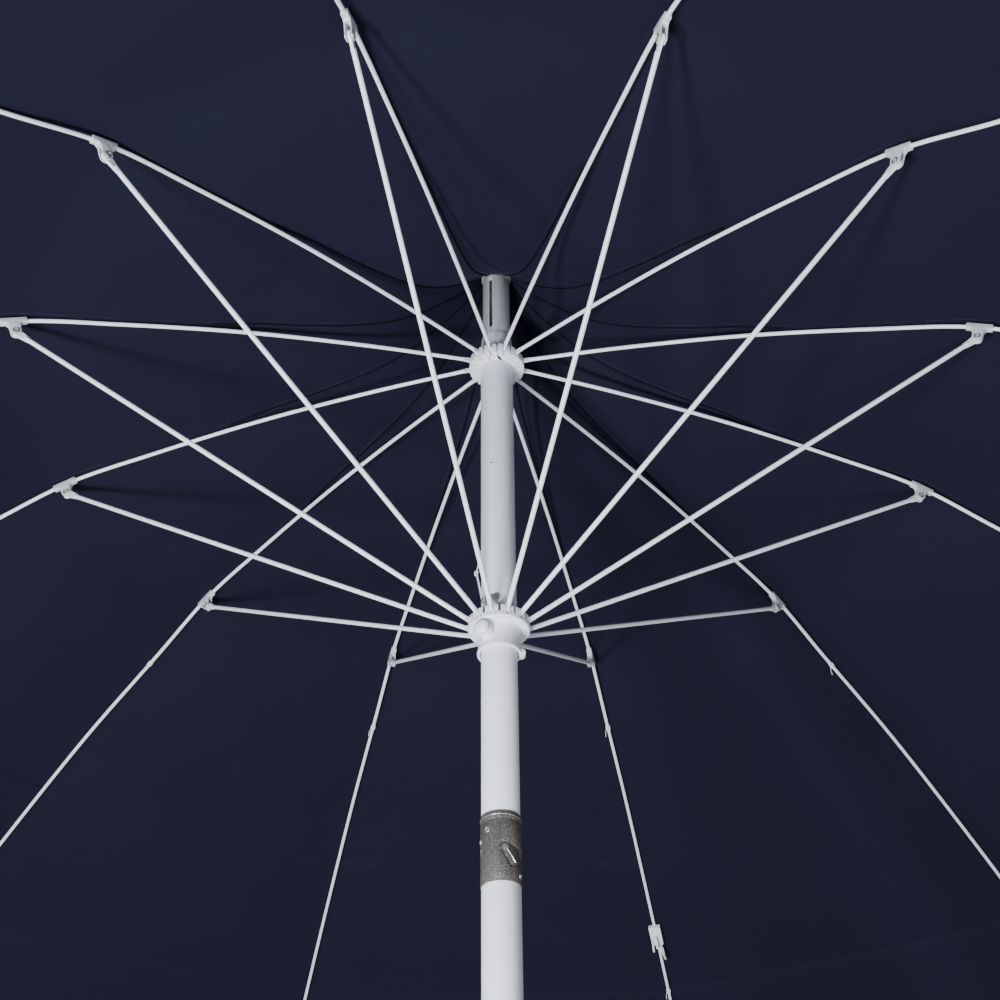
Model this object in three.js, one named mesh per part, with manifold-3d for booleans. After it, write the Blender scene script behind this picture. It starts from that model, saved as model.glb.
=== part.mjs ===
// A twelve-rib patio umbrella on a heavy round base, with a tilt knuckle in its mast.
// Millimetres, +Z up. The origin is on the ground, on the axis of the mast.
import * as THREE from "three";
import { mergeVertices } from "three/addons/utils/BufferGeometryUtils.js";
import Module from "manifold-3d";

// Driving dimensions. Heights named *_Z are above the ground.
const RIBS = 12;
const FIRST_RIB_DEG = -15;
const HUB_Z = 2300; // underside of the crown hub
const RUNNER_DROP = 368; // stretcher pivots of the runner, below the hub's underside
const KNUCKLE_TOP_DROP = 590.5;
const KNUCKLE_SEAM_DROP = 599;
const TILT_PIVOT_DROP = 629;
const KNUCKLE_BOTTOM_DROP = 662.5;
const TILT_AXIS_DEG = 12; // the canopy leans towards 90 degrees more than this
const POLE_R = 19;
const POLE_BORE_R = 17.6;
const SPIGOT_R = 17.2;
const KNUCKLE_R = 19.8;
const TOP_TUBE_R = 16.5;
const TOP_TUBE_BORE_R = 15;
const CROWN_R = 32.8; // the notched rings of the hub and of the runner
const PIVOT_R = 28; // wire rings that the ribs and stretchers turn on
const RIB_PIVOT_RISE = 8;
const RIVET = [546, -79]; // rib to stretcher pivot: radius, height over the hub's underside
const RIB_ROD_R = 2.4;
const STRETCHER_ROD_R = 2.7;
const GAP = 0.3;
const CLOTH = 0.8;
const BASE_R = 260;
const TURN_SEGMENTS = 28;
const RING_SEGMENTS = 36;
const LEVER_DEG = -78;
const BUTTON_DEG = -127;
const STOP_PIN_DEG = -104;
const CATCH_DEG = 179;
const STRAP_RIB = 4;

// Rib centreline from its blade to its tip, and the seam of the canopy that follows it.
const RIB_LINE = [[40, 8], [150, 1], [300, -15], [440, -39], [546, -62], [650, -108],
  [800, -173], [950, -252], [1100, -338], [1345, -490]];
const SEAM_LINE = [[18.8, 152], [40, 124], [61, 103], [107, 63], [153, 38], [235, 14], [288, 3],
  [348, -14], [465, -38], [560, -57], [650, -101], [800, -167], [950, -246], [1100, -332],
  [1225, -407], [1345, -483]];

const wasm = await Module();
wasm.setup();
const radians = THREE.MathUtils.degToRad;

// A closed three.js geometry as a solid with its faces pointing out.
function solid(geometry) {
  const bare = geometry.clone();
  bare.deleteAttribute("normal");
  bare.deleteAttribute("uv");
  const merged = mergeVertices(bare, 1e-3);
  const corners = merged.index.array;
  const kept = [];
  for (let i = 0; i < corners.length; i += 3) {
    const [a, b, c] = [corners[i], corners[i + 1], corners[i + 2]];
    if (a !== b && b !== c && c !== a) kept.push(a, b, c);
  }
  const build = (triVerts) => new wasm.Manifold(new wasm.Mesh({
    numProp: 3,
    vertProperties: merged.attributes.position.array,
    triVerts: new Uint32Array(triVerts),
  }));
  const made = build(kept);
  return made.volume() < 0 ? build(kept.reverse()) : made;
}

const joined = (first, ...rest) => rest.reduce((whole, piece) => whole.add(piece), first);
const cut = (first, ...rest) => rest.reduce((whole, piece) => whole.subtract(piece), first);

// A ring or a knob turned about Z. The outline of [radius, height] closes on itself or on the axis.
function turned(outline, segments = TURN_SEGMENTS) {
  const points = outline.map(([r, z]) => new THREE.Vector2(r, z));
  if (outline[0][0] > 0) points.push(points[0].clone());
  return solid(new THREE.LatheGeometry(points, segments).rotateX(Math.PI / 2));
}

const tube = (outer, inner, low, high) =>
  turned([[inner, low], [outer, low], [outer, high], [inner, high]]);

function rod(from, to, radius, sides = 10) {
  const start = new THREE.Vector3(...from);
  const along = new THREE.Vector3(...to).sub(start);
  const turn = new THREE.Quaternion();
  turn.setFromUnitVectors(new THREE.Vector3(0, 1, 0), along.clone().normalize());
  const middle = start.addScaledVector(along, 0.5);
  const cylinder = new THREE.CylinderGeometry(radius, radius, along.length(), sides);
  return solid(cylinder.applyQuaternion(turn).translate(...middle));
}

function block(low, high) {
  const size = high.map((value, i) => value - low[i]);
  const middle = high.map((value, i) => (value + low[i]) / 2);
  return solid(new THREE.BoxGeometry(...size).translate(...middle));
}

// A flat plate standing in the XZ plane, cut from a shape drawn as (x, z).
function plate(shape, thickness, curveSegments = 4) {
  const settings = { depth: thickness, bevelEnabled: false, curveSegments };
  const flat = new THREE.ExtrudeGeometry(shape, settings);
  return solid(flat.translate(0, 0, -thickness / 2).rotateX(Math.PI / 2));
}

// A strip with a round end about (0, 0) that runs to x = length.
function eyeShape(radius, length, halfHeight) {
  const shape = new THREE.Shape();
  shape.moveTo(length, halfHeight);
  shape.absarc(0, 0, radius, Math.PI / 3, -Math.PI / 3, false);
  shape.lineTo(length, -halfHeight);
  return shape;
}

function swept(path, radius, sides, steps) {
  const ring = [];
  for (let i = 0; i < sides; i++) {
    const angle = (2 * Math.PI * i) / sides;
    ring.push(new THREE.Vector2(radius * Math.cos(angle), radius * Math.sin(angle)));
  }
  const settings = { steps, extrudePath: path, bevelEnabled: false };
  return solid(new THREE.ExtrudeGeometry(new THREE.Shape(ring), settings));
}

// Turns a solid made in the XZ plane at the axis to an azimuth.
const turnedTo = (piece, degrees) => piece.rotate([0, 0, degrees]);

const group = new THREE.Group();
group.name = "patio_umbrella";

function add(name, piece, material, azimuth = 0) {
  const made = piece.getMesh();
  const geometry = new THREE.BufferGeometry();
  geometry.setAttribute("position", new THREE.BufferAttribute(made.vertProperties, 3));
  geometry.setIndex(new THREE.BufferAttribute(made.triVerts, 1));
  geometry.computeVertexNormals();
  const mesh = new THREE.Mesh(geometry, material);
  mesh.name = name;
  mesh.rotation.z = radians(azimuth);
  group.add(mesh);
}

const finish = (color, roughness, metalness = 0) =>
  new THREE.MeshStandardMaterial({ color, roughness, metalness });
const WHITE_STEEL = finish(0xdcdee2, 0.32);
const WHITE_PLASTIC = finish(0xd9dadd, 0.45);
const CLIP_STEEL = finish(0xc6c8cc, 0.4);
const ALUMINIUM = finish(0x9a9ca0, 0.4, 0.9);
const HAMMERED = finish(0x6e6963, 0.5, 0.7);
const BRIGHT_STEEL = finish(0xb9b9b7, 0.3, 1);
const NAVY_CLOTH = finish(0x1f2433, 0.9);
const STONE = finish(0x8f8d88, 0.85);
const BLACK_RUBBER = finish(0x1b1b1c, 0.9);
const DARK_PLASTIC = finish(0x2a2b2e, 0.5);

// Base: a cast stone disc on a rubber pad, with a steel socket, a bush and a clamp knob.
const PAD = 4;
const PLATE_LOW = PAD + GAP;
const PLATE_HIGH = 76;
const SOCKET_LOW = 20;
const SOCKET_HIGH = 360;
const SOCKET_R = 24.2;
const SOCKET_BORE_R = 21.6;
const KNOB_Z = 300;
const KNOB_DEG = -60;

function basePlate() {
  const outline = [[0, PLATE_LOW], [BASE_R, PLATE_LOW], [BASE_R, 40]];
  const corner = 16;
  for (let i = 1; i <= 3; i++) {
    const angle = (i * Math.PI) / 6;
    outline.push([BASE_R - corner + corner * Math.cos(angle), 40 + corner * Math.sin(angle)]);
  }
  outline.push([70, PLATE_HIGH], [SOCKET_R + GAP, PLATE_HIGH], [SOCKET_R + GAP, SOCKET_LOW - GAP]);
  outline.push([0, SOCKET_LOW - GAP]);
  return turned(outline, RING_SEGMENTS);
}

function baseSocket() {
  const flange = PLATE_HIGH + GAP;
  const body = turned([[0, SOCKET_LOW], [SOCKET_R, SOCKET_LOW], [SOCKET_R, flange], [56, flange],
    [56, flange + 3], [30, flange + 5], [SOCKET_R, flange + 14], [SOCKET_R, SOCKET_HIGH],
    [SOCKET_BORE_R, SOCKET_HIGH], [SOCKET_BORE_R, SOCKET_LOW + 3], [0, SOCKET_LOW + 3]]);
  const boss = turnedTo(rod([SOCKET_R - 1, 0, KNOB_Z], [34, 0, KNOB_Z], 8, 12), KNOB_DEG);
  const thread = turnedTo(rod([18, 0, KNOB_Z], [40, 0, KNOB_Z], 4.4, 12), KNOB_DEG);
  return cut(joined(body, boss), thread);
}

function baseBush() {
  const low = SOCKET_HIGH - 40;
  const lip = SOCKET_HIGH + GAP;
  return turned([[POLE_R + GAP, low], [SOCKET_BORE_R - GAP, low], [SOCKET_BORE_R - GAP, lip],
    [25.5, lip], [25.5, lip + 4], [POLE_R + GAP + 1, lip + 7], [POLE_R + GAP, lip + 7]]);
}

function baseKnob() {
  const shaft = rod([POLE_R + 0.5, 0, KNOB_Z], [46, 0, KNOB_Z], 4, 12);
  const hub = rod([36, 0, KNOB_Z], [54, 0, KNOB_Z], 12, 16);
  const arms = [0, 1, 2, 3, 4].map((i) => {
    const angle = (2 * Math.PI * i) / 5;
    const [y, z] = [17 * Math.cos(angle), KNOB_Z + 17 * Math.sin(angle)];
    return rod([38, y, z], [53, y, z], 8, 12);
  });
  return joined(shaft, hub, ...arms);
}

add("base_pad", tube(BASE_R - 8, BASE_R - 60, 0, PAD), BLACK_RUBBER);
add("base_plate", basePlate(), STONE);
add("base_socket", baseSocket(), WHITE_STEEL);
add("base_bush", baseBush(), DARK_PLASTIC);
add("base_knob", baseKnob(), DARK_PLASTIC, KNOB_DEG);

// Lower mast and the fixed half of the knuckle.
const KNUCKLE_BOTTOM = HUB_Z - KNUCKLE_BOTTOM_DROP;
const SEAM_Z = HUB_Z - KNUCKLE_SEAM_DROP;
const TILT_Z = HUB_Z - TILT_PIVOT_DROP;
const SPIGOT = 40;
const TONGUE = { width: 16, depth: 20 };
const TILT_PIN_R = 3.5;
const LEVER = { inner: 18.2, outer: 19.4, eye: 5, reach: 20, from: -70, to: -25 };

// The fan-shaped outline of the lever, seen along its pivot: x to the right, z up.
function leverShape(grow, from, to) {
  const shape = new THREE.Shape();
  const reach = LEVER.reach + grow;
  shape.absarc(0, 0, LEVER.eye + grow, radians(to + 75), radians(from + 285), false);
  shape.absarc(0, 0, reach, radians(from), radians(to), false);
  return shape;
}

// A skin of the knuckle's wall under a lever outline, with the pivot at azimuth 0.
function leverSkin(shape, inner, outer) {
  const prism = plate(shape, 30).rotate([0, 0, 90]).translate([20, 0, TILT_Z]);
  return prism.intersect(tube(outer, inner, TILT_Z - 32, TILT_Z + 12));
}

function knuckleBody() {
  const floor = TILT_Z - 17;
  const body = turned([[0, KNUCKLE_BOTTOM - SPIGOT], [SPIGOT_R, KNUCKLE_BOTTOM - SPIGOT],
    [SPIGOT_R, KNUCKLE_BOTTOM], [KNUCKLE_R, KNUCKLE_BOTTOM], [KNUCKLE_R, SEAM_Z - GAP],
    [16.3, SEAM_Z - GAP], [16.3, floor], [0, floor]]);
  const half = TONGUE.width / 2 + 0.5;
  const slot = block([-half, 0, TILT_Z - 2], [half, 30, SEAM_Z + 5]);
  const swing = rod([-30, 0, TILT_Z], [30, 0, TILT_Z], SEAM_Z - GAP - TILT_Z, 48);
  const lip = block([-25, 0.5, TILT_Z + 12], [25, 30, SEAM_Z + 5]).subtract(swing);
  const pinHole = rod([-30, 0, TILT_Z], [30, 0, TILT_Z], TILT_PIN_R + 0.4, 16);
  const backSide = joined(slot, lip, pinHole);
  const pocket = leverSkin(leverShape(0.7, -78, 2), LEVER.inner - 0.4, 30);
  const screwHole = rod([10, 0, TILT_Z], [25, 0, TILT_Z], 1.7, 8);
  return cut(body, turnedTo(backSide, TILT_AXIS_DEG), turnedTo(joined(pocket, screwHole), LEVER_DEG));
}

function tiltLever() {
  const skin = leverSkin(leverShape(0, LEVER.from, LEVER.to), LEVER.inner, LEVER.outer);
  return cut(skin, rod([10, 0, TILT_Z], [25, 0, TILT_Z], 1.8, 8));
}

function leverScrew() {
  const shank = rod([14, 0, TILT_Z], [20, 0, TILT_Z], 1.4, 8);
  return joined(shank, rod([LEVER.outer + 0.2, 0, TILT_Z], [20.35, 0, TILT_Z], 3, 12));
}

const tiltPin = rod([-19.2, 0, TILT_Z], [19.2, 0, TILT_Z], TILT_PIN_R, 16);
add("lower_pole", tube(POLE_R, POLE_BORE_R, SOCKET_LOW + 4, KNUCKLE_BOTTOM - GAP), WHITE_STEEL);
add("knuckle_body", knuckleBody(), HAMMERED);
add("tilt_pin", tiltPin, BRIGHT_STEEL, TILT_AXIS_DEG);
add("tilt_lever", tiltLever(), BRIGHT_STEEL, LEVER_DEG);
add("lever_screw", leverScrew(), BRIGHT_STEEL, LEVER_DEG);

// Upper mast: the tilting half of the knuckle, the pole, the hub and the crown.
const POLE_FOOT = HUB_Z - KNUCKLE_TOP_DROP;
const STOP_PIN_Z = HUB_Z - 345;
const CATCH_TOP_Z = HUB_Z - 264;

function knuckleCap() {
  const body = turned([[0, SEAM_Z], [KNUCKLE_R, SEAM_Z], [KNUCKLE_R, POLE_FOOT],
    [SPIGOT_R, POLE_FOOT], [SPIGOT_R, POLE_FOOT + SPIGOT], [0, POLE_FOOT + SPIGOT]]);
  const neck = block([-TONGUE.width / 2, -TONGUE.depth / 2, TILT_Z],
    [TONGUE.width / 2, TONGUE.depth / 2, SEAM_Z + 2]);
  const end = rod([-TONGUE.width / 2, 0, TILT_Z], [TONGUE.width / 2, 0, TILT_Z], TONGUE.depth / 2, 20);
  const hole = rod([-15, 0, TILT_Z], [15, 0, TILT_Z], TILT_PIN_R + 0.4, 16);
  return cut(joined(body, neck, end), hole);
}

function upperPole() {
  const pole = tube(POLE_R, POLE_BORE_R, POLE_FOOT + GAP, HUB_Z - GAP);
  const pinHole = turnedTo(rod([10, 0, STOP_PIN_Z], [25, 0, STOP_PIN_Z], 2.4, 10), STOP_PIN_DEG);
  const spare = turnedTo(rod([10, 0, HUB_Z - 157], [25, 0, HUB_Z - 157], 1.6, 8), -113);
  const slot = turnedTo(block([10, -3, CATCH_TOP_Z - 82], [25, 3, CATCH_TOP_Z + 2]), CATCH_DEG);
  return cut(pole, pinHole, spare, slot);
}

// Radial slots for the blades of the ribs or stretchers, and a shallow notch between each two.
function slots(low, high, notchInner, notchLow) {
  const cuts = [];
  for (let i = 0; i < RIBS; i++) {
    const azimuth = FIRST_RIB_DEG + (i * 360) / RIBS;
    cuts.push(turnedTo(block([23.8, -1.5, low], [36, 1.5, high]), azimuth));
    cuts.push(turnedTo(block([notchInner, -1.1, notchLow], [36, 1.1, high]), azimuth + 15));
  }
  return cuts;
}

const wireGroove = (low, high) => tube(PIVOT_R + 1.4, PIVOT_R - 1.4, low, high);
const HUB_HIGH = HUB_Z + 13.5;
const HUB_BORE_R = TOP_TUBE_R + GAP;

function hub() {
  const body = turned([[0, HUB_Z - SPIGOT], [SPIGOT_R, HUB_Z - SPIGOT], [SPIGOT_R, HUB_Z],
    [CROWN_R, HUB_Z], [CROWN_R, HUB_HIGH], [HUB_BORE_R, HUB_HIGH], [HUB_BORE_R, HUB_Z + 4],
    [0, HUB_Z + 4]], RING_SEGMENTS);
  const groove = wireGroove(HUB_Z + RIB_PIVOT_RISE - 1.6, HUB_HIGH + 2);
  return cut(body, groove, ...slots(HUB_Z - 1, HUB_HIGH + 1, 29.6, HUB_Z - 1));
}

function pivotWire(z) {
  return solid(new THREE.TorusGeometry(PIVOT_R, 0.8, 5, 36).translate(0, 0, z));
}

function hubCollar() {
  const low = HUB_HIGH + GAP;
  return turned([[HUB_BORE_R, low], [20.3, low], [20.3, HUB_Z + 26], [19.4, HUB_Z + 32],
    [18, HUB_Z + 49], [HUB_BORE_R, HUB_Z + 49]]);
}

function topTube() {
  const body = tube(TOP_TUBE_R, TOP_TUBE_BORE_R, HUB_Z + 4 + GAP, HUB_Z + 154);
  return cut(body, turnedTo(block([10, -2, HUB_Z + 59], [20, 2, HUB_Z + 140]), -116));
}

function finial() {
  const low = HUB_Z + 155;
  const outline = [[0, low], [27, low], [27, low + 3], [20, low + 7], [9, low + 10], [8, low + 15]];
  const [ballZ, ballR] = [low + 29, 16];
  for (let i = 0; i <= 6; i++) {
    const angle = radians(-60 + (150 * i) / 6);
    outline.push([Math.max(0, ballR * Math.cos(angle)), ballZ + ballR * Math.sin(angle)]);
  }
  outline[outline.length - 1][0] = 0;
  return turned(outline, 18);
}

add("knuckle_cap", knuckleCap(), HAMMERED, TILT_AXIS_DEG);
add("upper_pole", upperPole(), WHITE_STEEL);
add("hub", hub(), WHITE_PLASTIC);
add("hub_wire", pivotWire(HUB_Z + RIB_PIVOT_RISE), BRIGHT_STEEL);
add("hub_collar", hubCollar(), WHITE_PLASTIC);
add("top_tube", topTube(), ALUMINIUM);
add("finial", finial(), WHITE_PLASTIC);

// Spring catch in the pole's slot and the stop pin with its pull ring.
function catchLeaf() {
  const [top, nub, foot] = [[17, -2], [23, -35], [16, -76]];
  const leg = ([r0, z0], [r1, z1]) =>
    plate(new THREE.Shape([[r0, z0], [r0 + 1.6, z0], [r1 + 1.6, z1], [r1, z1]]
      .map(([r, z]) => new THREE.Vector2(r, z))), 4.6);
  const bead = rod([nub[0] + 1, -2.3, nub[1]], [nub[0] + 1, 2.3, nub[1]], 2.4, 10);
  return joined(leg(top, nub), leg(nub, foot), bead).translate([0, 0, CATCH_TOP_Z]);
}

function stopPin() {
  const z = STOP_PIN_Z;
  const shaft = rod([8, 0, z], [21, 0, z], 2, 10);
  const head = rod([POLE_R + 0.5, 0, z], [22.5, 0, z], 4.6, 16);
  const ring = new THREE.TorusGeometry(5, 0.9, 6, 16).rotateY(Math.PI / 2);
  return joined(shaft, head, solid(ring.translate(22, -8, z - 2)));
}

add("catch_leaf", catchLeaf(), WHITE_STEEL, CATCH_DEG);
add("stop_pin", stopPin(), BRIGHT_STEEL, STOP_PIN_DEG);

// Runner: a notched ring on a barrel, with a thumb button, a lug and its wire.
const RUNNER_Z = HUB_Z - RUNNER_DROP;
const RING_HIGH = RUNNER_Z + 6.5;
const RING_LOW = RUNNER_Z - 7.5;
const RUNNER_LOW = RUNNER_Z - 36;
const RUNNER_BORE_R = 20.7;
const BUTTON_Z = RUNNER_Z - 17;
const BUTTON_R = 7.2;

function runner() {
  const body = turned([[RUNNER_BORE_R, RUNNER_LOW], [22.9, RUNNER_LOW], [23.4, RUNNER_LOW + 2],
    [22.3, RUNNER_LOW + 4.5], [22.3, RING_LOW - 3], [23.6, RING_LOW], [CROWN_R - 1, RING_LOW],
    [CROWN_R, RING_LOW + 1.5], [CROWN_R, RING_HIGH], [RUNNER_BORE_R, RING_HIGH]],
  RING_SEGMENTS);
  const groove = wireGroove(RUNNER_Z - 1.6, RING_HIGH + 2);
  const cuts = slots(RING_LOW + 3.2, RING_HIGH + 1, 30.4, RUNNER_Z - 1);
  const boss = rod([21.5, 0, BUTTON_Z], [28, 0, BUTTON_Z], BUTTON_R + 1.6, 20);
  const bossBore = rod([22.6, 0, BUTTON_Z], [30, 0, BUTTON_Z], BUTTON_R + 0.3, 20);
  const lug = turnedTo(rod([22.5, -3, RUNNER_LOW + 1], [22.5, 3, RUNNER_LOW + 1], 5.2, 14), -4);
  const bore = rod([0, 0, RUNNER_LOW - 9], [0, 0, RING_HIGH + 9], RUNNER_BORE_R, RING_SEGMENTS);
  const bossed = cut(joined(body, turnedTo(boss, BUTTON_DEG), lug), turnedTo(bossBore, BUTTON_DEG));
  return cut(bossed, bore, groove, ...cuts);
}

const button = joined(rod([25.4, 0, BUTTON_Z], [30.2, 0, BUTTON_Z], BUTTON_R - 0.1, 20),
  rod([30, 0, BUTTON_Z], [31.4, 0, BUTTON_Z], BUTTON_R - 1.8, 20));
add("runner", runner(), WHITE_PLASTIC);
add("runner_wire", pivotWire(RUNNER_Z), BRIGHT_STEEL);
add("runner_button", button, WHITE_PLASTIC, BUTTON_DEG);

// Ribs, their clips and the stretchers, each made in the XZ plane and turned to its azimuth.
const point = ([r, z]) => new THREE.Vector3(r, 0, HUB_Z + z);
const ribCurve = new THREE.CatmullRomCurve3(RIB_LINE.map(point));
const ribRod = (radius, sides = 6) => swept(ribCurve, radius, sides, 12);

function rib() {
  const blade = plate(eyeShape(3.5, 16, 2.2), 2.2).translate([PIVOT_R, 0, HUB_Z + RIB_PIVOT_RISE]);
  const eye = rod([PIVOT_R, -5, HUB_Z + RIB_PIVOT_RISE], [PIVOT_R, 5, HUB_Z + RIB_PIVOT_RISE], 1.25, 8);
  return cut(joined(ribRod(RIB_ROD_R), blade), eye);
}

// The clip's sleeve lies on the rib, and its two ears hang down to the rivet.
const CLIP = { tilt: 20, length: 29, width: 7.6, rise: 3.6, drop: 16, ear: 6.6, wall: 1.4 };

function clip() {
  const shape = new THREE.Shape();
  const half = CLIP.length / 2;
  shape.moveTo(-half, CLIP.drop + CLIP.rise);
  shape.lineTo(-half, CLIP.drop - 3.4);
  shape.lineTo(-CLIP.ear - 1, CLIP.drop - 6);
  shape.lineTo(-CLIP.ear, 0);
  shape.absarc(0, 0, CLIP.ear, Math.PI, 2 * Math.PI, false);
  shape.lineTo(CLIP.ear, CLIP.drop - 6);
  shape.lineTo(half, CLIP.drop - 3.4);
  shape.lineTo(half, CLIP.drop + CLIP.rise);
  const body = plate(shape, CLIP.width, 4);
  const inner = CLIP.width / 2 - CLIP.wall;
  const gap = block([-40, -inner, -20], [40, inner, CLIP.drop - 4.6]);
  const rivet = rod([0, -CLIP.width / 2 - 0.6, 0], [0, CLIP.width / 2 + 0.6, 0], 2.2, 8);
  const placed = joined(cut(body, gap), rivet).rotate([0, CLIP.tilt, 0]);
  return cut(placed.translate([RIVET[0], 0, HUB_Z + RIVET[1]]), ribRod(RIB_ROD_R + 0.35, 6));
}

function stretcher() {
  const [dr, dz] = [RIVET[0] - PIVOT_R, RIVET[1] + RUNNER_DROP];
  const length = Math.hypot(dr, dz);
  const outer = plate(eyeShape(5, 18, 2.2), 3);
  const inner = plate(eyeShape(3, 14, 2), 2.2).rotate([0, 180, 0]).translate([length, 0, 0]);
  const bar = rod([14, 0, 0], [length - 12, 0, 0], STRETCHER_ROD_R, 6);
  const rivetHole = rod([0, -5, 0], [0, 5, 0], 2.8, 8);
  const wireHole = rod([length, -5, 0], [length, 5, 0], 1.25, 8);
  const whole = cut(joined(outer, inner, bar), rivetHole, wireHole);
  const slope = THREE.MathUtils.radToDeg(Math.atan2(dz, -dr));
  return whole.rotate([0, slope, 0]).translate([RIVET[0], 0, HUB_Z + RIVET[1]]);
}

function strapClip() {
  const at = ribCurve.getPointAt(0.731);
  const sleeve = block([-17, -9, -7], [17, 9, 1]);
  const lug = block([-4, -2, -16], [17, 2, -6]);
  const eye = rod([10, -5, -11], [10, 5, -11], 3, 10);
  const placed = cut(joined(sleeve, lug), eye).rotate([0, 29, 0]).translate([at.x, 0, at.z]);
  return cut(placed, ribRod(RIB_ROD_R + 0.35));
}

const [ribPiece, clipPiece, stretcherPiece] = [rib(), clip(), stretcher()];
for (let i = 0; i < RIBS; i++) {
  const number = String(i + 1).padStart(2, "0");
  const azimuth = FIRST_RIB_DEG + (i * 360) / RIBS;
  add("rib_" + number, ribPiece, WHITE_STEEL, azimuth);
  add("rib_clip_" + number, clipPiece, CLIP_STEEL, azimuth);
  add("stretcher_" + number, stretcherPiece, WHITE_STEEL, azimuth);
}
add("strap_clip", strapClip(), WHITE_PLASTIC, FIRST_RIB_DEG + ((STRAP_RIB - 1) * 360) / RIBS);

// Canopy: one sheet over all the ribs, straight from seam to seam, with a hem that curves in.
const HEM_BOW = 0.018;

function canopyPoint(station, turn, rise) {
  const [r, z] = SEAM_LINE[station];
  const gore = Math.floor(turn / 2);
  const [a, b] = [gore, gore + 1].map((n) => radians(FIRST_RIB_DEG + (n * 360) / RIBS));
  const share = turn % 2 ? 0.5 : 0;
  const pull = share && r > 1100 ? 1 - (HEM_BOW * (r - 1100)) / 245 : 1;
  const x = pull * r * (Math.cos(a) * (1 - share) + Math.cos(b) * share);
  const y = pull * r * (Math.sin(a) * (1 - share) + Math.sin(b) * share);
  return [x, y, HUB_Z + z + rise];
}

function canopy() {
  const [stations, turns] = [SEAM_LINE.length, 2 * RIBS];
  const positions = [];
  for (const rise of [0, CLOTH]) {
    for (let s = 0; s < stations; s++) {
      for (let t = 0; t < turns; t++) positions.push(...canopyPoint(s, t, rise));
    }
  }
  const at = (layer, s, t) => (layer * stations + s) * turns + (t % turns);
  const faces = [];
  const quad = (a, b, c, d) => faces.push(a, b, c, a, c, d);
  for (let t = 0; t < turns; t++) {
    for (let s = 0; s < stations - 1; s++) {
      quad(at(0, s, t), at(0, s, t + 1), at(0, s + 1, t + 1), at(0, s + 1, t));
      quad(at(1, s, t), at(1, s + 1, t), at(1, s + 1, t + 1), at(1, s, t + 1));
    }
    quad(at(0, 0, t), at(1, 0, t), at(1, 0, t + 1), at(0, 0, t + 1));
    const last = stations - 1;
    quad(at(0, last, t), at(0, last, t + 1), at(1, last, t + 1), at(1, last, t));
  }
  const geometry = new THREE.BufferGeometry();
  geometry.setAttribute("position", new THREE.Float32BufferAttribute(positions, 3));
  geometry.setIndex(faces);
  return solid(geometry);
}

add("canopy", canopy(), NAVY_CLOTH);

export default group;
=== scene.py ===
import math

import bmesh
import bpy
import numpy as np
from mathutils import Matrix, Vector


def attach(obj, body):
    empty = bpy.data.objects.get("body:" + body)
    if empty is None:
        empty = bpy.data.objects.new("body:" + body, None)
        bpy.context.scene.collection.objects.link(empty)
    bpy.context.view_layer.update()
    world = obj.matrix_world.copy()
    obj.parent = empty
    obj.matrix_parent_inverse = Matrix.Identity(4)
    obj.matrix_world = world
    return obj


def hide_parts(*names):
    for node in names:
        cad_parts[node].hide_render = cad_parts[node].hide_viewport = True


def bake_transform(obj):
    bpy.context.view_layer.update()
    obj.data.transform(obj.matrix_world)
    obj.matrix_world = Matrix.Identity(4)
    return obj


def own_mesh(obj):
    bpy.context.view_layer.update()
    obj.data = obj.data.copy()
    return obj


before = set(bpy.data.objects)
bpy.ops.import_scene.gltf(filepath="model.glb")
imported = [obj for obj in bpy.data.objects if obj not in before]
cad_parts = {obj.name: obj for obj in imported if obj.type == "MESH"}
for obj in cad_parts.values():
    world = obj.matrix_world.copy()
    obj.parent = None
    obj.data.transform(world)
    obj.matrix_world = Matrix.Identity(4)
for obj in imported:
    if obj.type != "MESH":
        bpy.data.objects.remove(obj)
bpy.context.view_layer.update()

CAMERA_PLACE = Vector((-0.02951, -1.39786, 1.00107))
CAMERA_HEADING = Vector((0.022775, 0.999741, 0.0))
CAMERA_PITCH = math.radians(38.2206)
CAMERA_ROLL = math.radians(-0.5687)
CAMERA_LENS = 57.15
CAMERA_SENSOR = 36.0

ahead = CAMERA_HEADING * math.cos(CAMERA_PITCH) + Vector((0, 0, math.sin(CAMERA_PITCH)))
level_right = Vector((CAMERA_HEADING.y, -CAMERA_HEADING.x, 0.0))
level_up = level_right.cross(ahead)
camera_right = level_right * math.cos(CAMERA_ROLL) + level_up * math.sin(CAMERA_ROLL)
camera_up = level_up * math.cos(CAMERA_ROLL) - level_right * math.sin(CAMERA_ROLL)
camera_data = bpy.data.cameras.new("camera")
camera_data.lens = CAMERA_LENS
camera_data.sensor_width = CAMERA_SENSOR
camera_data.clip_start = 0.01
camera = bpy.data.objects.new("camera", camera_data)
turn = Matrix((camera_right, camera_up, -ahead)).transposed()
camera.matrix_world = Matrix.Translation(CAMERA_PLACE) @ turn.to_4x4()
bpy.context.scene.collection.objects.link(camera)
bpy.context.scene.camera = camera

# Base: a rubber ring pad under a heavy disc of cast stone, domed so that rain runs off.
# The disc is cast in a mould, and its rim is rounded by the mould and ground lightly.
MM = 0.001


class Wire:
    """A node's output socket that sums can be written with."""

    def __init__(self, board, socket):
        self.board, self.socket = board, socket

    def sum(self, operation, first, second=0.0):
        return self.board.node("ShaderNodeMath", {"operation": operation}, {0: first, 1: second})

    def __add__(self, other):
        return self.sum("ADD", self, other)

    def __sub__(self, other):
        return self.sum("SUBTRACT", self, other)

    def __rsub__(self, other):
        return self.sum("SUBTRACT", other, self)

    def __mul__(self, other):
        return self.sum("MULTIPLY", self, other)

    def __gt__(self, other):
        return self.sum("GREATER_THAN", self, other)

    __radd__, __rmul__ = __add__, __mul__

    def part(self, name):
        return Wire(self.board, self.socket.node.outputs[name])


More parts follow.
